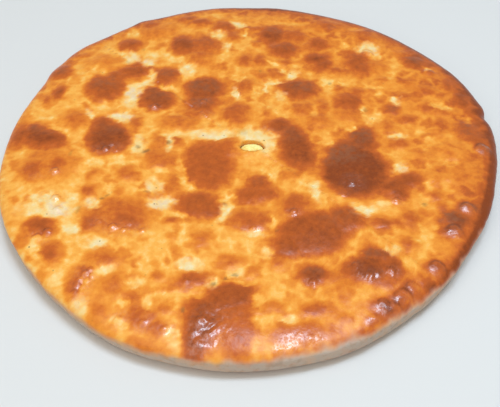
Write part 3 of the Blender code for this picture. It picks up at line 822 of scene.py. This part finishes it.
def closed_piece(name, points, faces, attributes):
    """A smooth mesh object from points and triangles, with one number per point for each
    attribute, put in with foreach_set."""
    mesh = bpy.data.meshes.new(name)
    mesh.vertices.add(len(points))
    mesh.vertices.foreach_set("co", np.ascontiguousarray(points, np.float32).ravel())
    mesh.loops.add(len(faces) * 3)
    mesh.loops.foreach_set("vertex_index", np.ascontiguousarray(faces, np.int32).ravel())
    mesh.polygons.add(len(faces))
    mesh.polygons.foreach_set("loop_start", np.arange(0, len(faces) * 3, 3, dtype=np.int32))
    mesh.update(calc_edges=True)
    mesh.shade_smooth()
    for title, values in attributes.items():
        mesh.attributes.new(title, "FLOAT", "POINT").data.foreach_set(
            "value", np.ascontiguousarray(values, np.float32)
        )
    piece = bpy.data.objects.new(name, mesh)
    bpy.context.scene.collection.objects.link(piece)
    open_edges = len(faces) * 3 - len(mesh.edges) * 2
    print(name + ":", len(points), "points,", len(faces), "triangles,", open_edges, "open edges")
    return piece


print("a strip of 4:", strip(np.arange(4), np.arange(4, 8)).tolist())

# %% [markdown]
# ## The dough, whole
# Each point also carries numbers for its finish: how brown it is, and how floury. The side is
# floury, because the loaf was rolled out on a floured board and egg wash never reaches it.
# The underside took brown patches from the hot stone.

# %% The dough, whole
side_first = len(top)
under_first = side_first + side.shape[0] * side.shape[1]
room_first = under_first + len(under)
side_loops = side_first + np.arange(side[..., 0].size).reshape(side.shape[:2])
room_loop = room_first + np.arange(room[..., 0].size).reshape(room.shape[:2])
floor_point = room_first + room[..., 0].size
points = np.concatenate([top, side.reshape(-1, 3), under, room.reshape(-1, 3), [(0, 0, DOUGH)]])
faces = [triangles(top_quads)]
faces += [triangles(strip(a, b)[:, ::-1]) for a, b in zip([rim_loop, *side_loops], side_loops)]
faces += [four_to_one(side_loops[-1], under_first + under_loop)[:, ::-1]]
faces += [triangles(under_first + under_quads[:, ::-1])]
faces += [triangles(strip(a, b)) for a, b in zip([vent_loop, *room_loop], room_loop)]
last = room_loop[-1]
faces += [np.stack([last, np.roll(last, -1), np.full_like(last, floor_point)], axis=1)]

# Where the browning stops higher up the shoulder: angle, half width, how much higher
BARE_RIM = ((-92, 14, 2.2 * MM), (-70, 12, 2.8 * MM), (-50, 10, 1.8 * MM), (-30, 9, 1.0 * MM))

x, y, z = points.T
angle = np.degrees(np.arctan2(y, x))
bare = sum(higher * np.exp(-(((angle - at) / wide) ** 2)) for at, wide, higher in BARE_RIM)
on_top = smooth_step(z + 1.2 * MM * layered_noise(x, y, 9 * MM, 91) - bare, 8.5 * MM, 12.5 * MM)
inside = np.arange(len(points)) >= room_first
under_brown = 0.32 + 0.3 * np.clip(layered_noise(x, y, 30 * MM, 93) + 0.2, 0, 1)
below = smooth_step(z, 2.2 * MM, 0.3 * MM)
seared = smooth_step(layered_noise(x, y, 24 * MM, 99), -0.2, 0.6)
under_brown += below * (0.55 * seared - 0.25)
brown, curd = browning(x, y)
toast = np.where(inside, 0.34, brown * on_top + under_brown * (1 - on_top))
numbers = {
    "toast": toast,
    "flour": np.where(inside, 0, (1 - on_top) * (1 - below * (0.5 + 0.35 * seared))),
    "curd": np.where(inside, 0.5, curd * on_top),
    # Where the tops of the darkest blisters take a grey-brown painted sheen.
    "scorch": strongest(x, y, PAINTED_SHEEN_SPOTS, 4 * MM) * on_top,
    "speck": strongest(x, y, SPECKS, 1.2 * MM) * on_top,
    "pucker": smooth_step(strongest(x, y, PUCKERED, 2.5 * MM), 0.0, 0.5) * on_top,
}
dough = closed_piece("crust", points, np.concatenate(faces), numbers)

# %% [markdown]
# ## The cheese
# The filling is young salted cheese that melted, filled the whole room, and welled up in the
# vent. It is a disc with a knob on it. A profile carried round a moving radius would do, and
# the room's own loops, drawn in a little, already are that profile.

# %% The cheese
CHEESE_BELOW_LIP = 2.5 * MM
WELL_ROUNDING = 1.0 * MM
WELL_DOME = 1.6 * MM  # how far the melted top swells over the level of the CAD's
CHEESE_POINTS = 96


def cheese_loops(angle):
    """Loops from the floor's middle out to the widest rim, in again under the top crust, and
    up the vent to a rounded top, which noise makes lumpy."""
    ceiling, rim, floor = room_loops(angle, GAP)
    low = np.zeros_like(floor) + (0, 0, DOUGH + GAP)
    under_vent = EDGE_HEIGHT + CROWN - DOUGH - 3 * GAP
    neck = np.stack([*vent_points(angle, 2 * GAP), np.full_like(angle, under_vent)], axis=1)
    well_top = EDGE_HEIGHT + CROWN + VENT_LIP - CHEESE_BELOW_LIP
    shoulder = neck + (0, 0, well_top - WELL_ROUNDING - under_vent)
    top_middle = np.zeros_like(neck) + (-0.5 * MM, -1.2 * MM, well_top)
    turn = np.linspace(0, math.pi / 2, 9)[1:]
    well = [shoulder * math.cos(t) + top_middle * (1 - math.cos(t)) for t in turn[:-1]]
    for loop, t in zip(well, turn):
        loop[:, 2] = well_top - WELL_ROUNDING + (WELL_ROUNDING + WELL_DOME) * math.sin(t)
    bottom = between(low, floor, np.linspace(0.02, 1, 14))
    ceiling_in = between(ceiling, neck, np.linspace(0, 1, 16))
    return np.array([*bottom, rim, *ceiling_in, *between(neck, shoulder, (0.3, 0.65, 1)), *well])


loops = cheese_loops(np.linspace(0, 2 * math.pi, CHEESE_POINTS, endpoint=False))
x, y, z = loops.reshape(-1, 3).T
lumps = np.clip(layered_noise(x, y, 2.6 * MM, 95), -1, 1)
well_share = smooth_step(z, 15.5 * MM, 16.5 * MM)
loops[..., 2] += (0.3 * MM * lumps * well_share).reshape(loops.shape[:2])
count = loops.shape[0] * loops.shape[1]
number = np.arange(count).reshape(loops.shape[:2])
ends = [(number[0][::-1], count), (number[-1], count + 1)]
faces = [triangles(strip(a, b)) for a, b in zip(number, number[1:])]
faces += [np.stack([loop, np.roll(loop, -1), np.full_like(loop, end)], axis=1) for loop, end in ends]
points = np.concatenate([loops.reshape(-1, 3), [loops[0].mean(axis=0)], [loops[-1].mean(axis=0)]])
crumb = 0.5 + 0.5 * layered_noise(*points.T[:2], 6 * MM, 97)
cheese = closed_piece("melted_cheese", points, np.concatenate(faces), {"crumb": crumb})

# %% [markdown]
# ## Shader maths as plain sums
# A material's nodes are sums and products drawn as boxes. Written by hand, each box takes
# three lines. A small class that wraps a socket lets Python's own signs add the boxes, so a
# finish reads like the formula it is.

# %% One class for every node
class Wire:
    """A value, colour or vector on its way through a material's nodes."""

    def __init__(self, tree, socket=None):
        self.tree, self.socket = tree, socket

    def node(self, kind, settings, inputs, output=0):
        """Adds a node: first its settings, such as an operation or a ramp's stops, then a value
        or a link for each of its inputs. Gives back one of its outputs."""
        made = self.tree.nodes.new(kind)
        for name, value in settings.items():
            if name == "stops":
                stops = made.color_ramp.elements
                while len(stops) < len(value):
                    stops.new(1)
                for stop, (place, colour) in zip(stops, value):
                    stop.position, stop.color = place, (*colour, 1)
            else:
                setattr(made, name, value)
        for key, value in inputs.items():
            if isinstance(value, Wire):
                self.tree.links.new(value.socket, made.inputs[key])
            else:
                made.inputs[key].default_value = value
        return Wire(self.tree, made.outputs[output] if len(made.outputs) else None)

    def math(self, operation, first, second=0.0):
        return self.node("ShaderNodeMath", {"operation": operation}, {0: first, 1: second})

    def __add__(self, other):
        return self.math("ADD", self, other)

    def __sub__(self, other):
        return self.math("SUBTRACT", self, other)

    def __rsub__(self, other):
        return self.math("SUBTRACT", other, self)

    def __mul__(self, other):
        return self.math("MULTIPLY", self, other)

    def __abs__(self):
        return self.math("ABSOLUTE", self)

    __radd__, __rmul__ = __add__, __mul__

    def step(self, low, high):
        """A smooth step from 0 at low to 1 at high, or from 1 down to 0 if low is the higher."""
        ends = {"Value": self, "From Min": min(low, high), "From Max": max(low, high)}
        ends |= {"To Min": float(low > high), "To Max": float(low < high)}
        return self.node("ShaderNodeMapRange", {"interpolation_type": "SMOOTHSTEP"}, ends)

    def noise(self, cell, detail=2.0, roughness=0.5):
        """Noise from 0 to 1 over this place, with features about one cell wide."""
        inputs = {"Vector": self, "Scale": 1 / cell, "Detail": detail, "Roughness": roughness}
        return self.node("ShaderNodeTexNoise", {}, inputs)

    def painted_from(self, colour):
        """One colour on a wire of its own, to be painted over."""
        made = self.node("ShaderNodeRGB", {}, {})
        made.socket.default_value = (*colour, 1)
        return made

    def painted(self, colour, share):
        """This colour, changed to another colour by a share from 0 to 1."""
        settings = {"data_type": "RGBA", "clamp_factor": True}
        return self.node("ShaderNodeMix", settings, {0: share, 6: self, 7: colour}, 2)


def new_finish(name):
    """An empty material, and a Wire that carries the place on the object."""
    material = bpy.data.materials.new(name)
    material.use_nodes = True
    material.node_tree.nodes.clear()
    place = Wire(material.node_tree).node("ShaderNodeTexCoord", {}, {}, "Object")
    return material, place


def attribute(wire, name):
    """The number that the mesh holds at each point under this name."""
    settings = {"attribute_type": "GEOMETRY", "attribute_name": name}
    return wire.node("ShaderNodeAttribute", settings, {}, "Fac")


def tone(red, green, blue):
    """A colour as a screen shows it, 0 to 255, turned to the linear light that nodes take."""
    screen = np.array([red, green, blue]) / 255
    linear = np.where(screen <= 0.04045, screen / 12.92, ((screen + 0.055) / 1.055) ** 2.4)
    return tuple(linear.tolist())


print("a golden crust in linear light:", [round(part, 2) for part in tone(244, 167, 80)])

# %% [markdown]
# ## The crust's finish
# Egg wash browns in steps: cream, butter yellow, gold, orange, red-brown, and almost black at
# the top of a blister. One ramp over the browning number holds those steps. Noise at two
# sizes frets its edges, because the mesh is too coarse for that. Browned skin is glazed and
# smooth. Flour is matte, so the side and the underside get their own colour and roughness.
# That flour colour is greyed a little as painted shade on the side.

# %% The crust's finish
BROWNING_STEPS = (
    (0.0, tone(244, 222, 172)),
    (0.12, tone(250, 204, 122)),
    (0.25, tone(250, 177, 76)),
    (0.4, tone(240, 149, 49)),
    (0.55, tone(224, 125, 37)),
    (0.7, tone(199, 97, 32)),
    (0.85, tone(175, 83, 28)),
    (1.0, tone(139, 63, 22)),
)
# Flour, greyed darker than real flour as painted shade on the loaf's side.
FLOUR_AND_PAINTED_SHADE = tone(198, 178, 160)
STREAKED = tone(150, 112, 76)
SPECK = tone(120, 88, 48)
ROSY = tone(232, 199, 168)
CURD = tone(237, 208, 147)
# The grey-brown of a painted sheen on the tops of the darkest blisters.
SHEEN_GREY = tone(146, 90, 60)

crust, place = new_finish("baked crust")
mottle = place.noise(2.6 * MM, 3.0)
grain = place.noise(0.9 * MM, 2.0)
map_toast = attribute(place, "toast")
mottled = (mottle - 0.5) * 0.2 + (grain - 0.5) * 0.09
toast = map_toast + mottled * (map_toast.step(0.55, 0.85) * 0.25 + 1)
flour = attribute(place, "flour")
baked = place.node("ShaderNodeValToRGB", {"stops": BROWNING_STEPS}, {0: toast})
pale = toast.step(0.34, 0.12)
bare = attribute(place, "curd") * mottle.step(0.28, 0.66)
baked = baked.painted((*CURD, 1), bare * 0.85)
baked = baked.painted((*ROSY, 1), bare * place.noise(14 * MM).step(0.5, 0.62) * 0.8)
cells = place.node("ShaderNodeTexVoronoi", {}, {"Vector": place, "Scale": 1 / (4.2 * MM)})
specks = cells.step(0.16, 0.08) * place.noise(7 * MM).step(0.52, 0.6)
baked = baked.painted((*SPECK, 1), specks * (pale * 0.6 + 0.15))
# A dull grey-brown painted sheen on the tops of the darkest blisters.
painted_sheen = attribute(place, "scorch") * place.noise(3 * MM, 3.0).step(0.3, 0.65) * toast.step(0.6, 0.85)
baked = baked.painted((*SHEEN_GREY, 1), painted_sheen * 0.65)
baked = baked.painted((*SPECK, 1), attribute(place, "speck") * 0.7)
dusted = flour * (0.55 + place.noise(5 * MM, 4.0) * 0.8)
streaks = place.noise(3.5 * MM, 3.0).step(0.48, 0.68) * 0.3
# The floury colour, partly flour and partly painted shade, with real brown streaks.
flour_and_painted_shade = place.painted_from(FLOUR_AND_PAINTED_SHADE).painted((*STREAKED, 1), streaks)
colour = baked.painted(flour_and_painted_shade, dusted)
pucker = attribute(place, "pucker")
flecks = place.noise(1.4 * MM, 1.0).step(0.43, 0.57)
skin = place.noise(1.5 * MM, 2.0) * (0.5 + pucker * 0.5)
skin = skin + abs(place.noise(4.5 * MM, 2.0) - 0.5) * 0.5
bumps = place.node(
    "ShaderNodeBump", {}, {"Strength": 0.45, "Distance": 0.5 * MM, "Height": skin + dusted * grain}
)
gloss = 0.36 - toast.step(0.3, 0.8) * 0.04 + (place.noise(6 * MM) - 0.5) * 0.12
shader = place.node(
    "ShaderNodeBsdfPrincipled",
    {},
    {
        "Base Color": colour,
        "Roughness": gloss + flour * 0.45,
        "Normal": bumps,
        "IOR": 1.37,
        "Coat Weight": pucker * (flecks * 0.8 + 0.2),
        "Coat Roughness": 0.2,
        "Coat IOR": 1.5,
        "Subsurface Weight": 0.06,
        "Subsurface Radius": (3 * MM, 1.5 * MM, 0.8 * MM),
        "Subsurface Scale": 1.0,
    },
)
place.node("ShaderNodeOutputMaterial", {}, {"Surface": shader})
dough.data.materials.append(crust)
print("crust:", len(crust.node_tree.nodes), "nodes")

# %% [markdown]
# ## The cheese's finish
# Melted cheese is smooth, wet and a clear yellow, a little darker where it dried.

# %% The cheese's finish
FRESH, DRIED = tone(255, 246, 160), tone(246, 206, 100)

melted, place = new_finish("melted cheese")
crumb = attribute(place, "crumb") + (place.noise(1.2 * MM, 3.0) - 0.5) * 0.6
colour = place.node(
    "ShaderNodeValToRGB", {"stops": ((0.5, FRESH), (1.0, DRIED))}, {0: crumb}
)
bumps = place.node(
    "ShaderNodeBump", {}, {"Strength": 0.5, "Distance": 0.3 * MM, "Height": place.noise(1.6 * MM, 3.0)}
)
shader = place.node(
    "ShaderNodeBsdfPrincipled",
    {},
    {
        "Base Color": colour,
        "Roughness": 0.24 + crumb * 0.12,
        "Normal": bumps,
        "Subsurface Weight": 0.15,
        "Subsurface Radius": (4 * MM, 3 * MM, 1.2 * MM),
        "Subsurface Scale": 1.0,
    },
)
place.node("ShaderNodeOutputMaterial", {}, {"Surface": shader})
cheese.data.materials.append(melted)
print("cheese:", len(melted.node_tree.nodes), "nodes")

# %% [markdown]
# ## The table and the light
# A plain pale floor hides nothing and bounces light under the loaf. Glazed food is lit from
# above and a little behind: then flat places stay soft in colour, and only slopes that face
# the viewer mirror the lamp, which draws every blister and wrinkle with sparkles.

# %% The floor
FLOOR_HALF = 4.0
across, along = np.meshgrid(np.linspace(-FLOOR_HALF, FLOOR_HALF, 3), np.linspace(-FLOOR_HALF, FLOOR_HALF, 3))
number = np.arange(9).reshape(3, 3)
corners = [number[:-1, :-1], number[:-1, 1:], number[1:, 1:], number[1:, :-1]]
quads = np.stack([corner.ravel() for corner in corners], axis=1)
floor_points = np.stack([across.ravel(), along.ravel(), np.zeros(9)], axis=1)
floor = closed_piece("floor", floor_points, triangles(quads), {})
pale_floor, place = new_finish("pale floor")
shader = place.node(
    "ShaderNodeBsdfPrincipled", {}, {"Base Color": (*tone(222, 220, 216), 1), "Roughness": 0.7}
)
place.node("ShaderNodeOutputMaterial", {}, {"Surface": shader})
floor.data.materials.append(pale_floor)

# %% The lamps and the sky
def softbox(name, width, watts, colour, elevation, azimuth, distance):
    """A round lamp that faces the loaf. Azimuth 0 is behind the loaf, and 90 is on its right."""
    light = bpy.data.lights.new(name, "AREA")
    light.shape, light.size, light.energy, light.color = "DISK", width, watts, colour
    lamp = bpy.data.objects.new(name, light)
    level, turn = math.radians(elevation), math.radians(azimuth)
    out = (math.sin(turn) * math.cos(level), math.cos(turn) * math.cos(level), math.sin(level))
    lamp.location = Vector(out) * distance
    lamp.rotation_mode = "QUATERNION"
    lamp.rotation_quaternion = (-lamp.location).to_track_quat("-Z", "Y")
    bpy.context.scene.collection.objects.link(lamp)
    print(name, "at, m:", [round(part, 2) for part in lamp.location])


softbox("key lamp", 1.8, 8.7, (1.0, 0.96, 0.9), 76, -150, 1.7)
softbox("window lamp", 0.36, 5.8, (0.6, 0.8, 1.0), 84, 120, 1.2)
softbox("right window lamp", 0.24, 2.6, (0.6, 0.8, 1.0), 70, 97, 1.2)
softbox("fill lamp", 1.0, 3.0, (1.0, 0.98, 0.95), 40, -150, 1.5)

sky = bpy.data.worlds.new("pale sky")
sky.use_nodes = True
sky.node_tree.nodes["Background"].inputs["Color"].default_value = (1.0, 0.965, 0.91, 1)
sky.node_tree.nodes["Background"].inputs["Strength"].default_value = 0.4
bpy.context.scene.world = sky
bpy.context.scene.view_settings.view_transform = "Standard"

# %% [markdown]
# ## Tying the looks to the model
# Each piece stands for a solid of the CAD model and rides on its body. The two boxes are
# written down side by side, to show that the looks kept the model's size.

# %% Tying the looks to the model
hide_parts("dough")
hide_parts("cheese")
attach(dough, "root")
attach(cheese, "root")
floor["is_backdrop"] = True

boxes = {"cad": cad_box, "looks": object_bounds()}
for name, (low, high) in boxes.items():
    print(name, "mm:", [round(float(b - a) / MM, 1) for a, b in zip(low, high)])
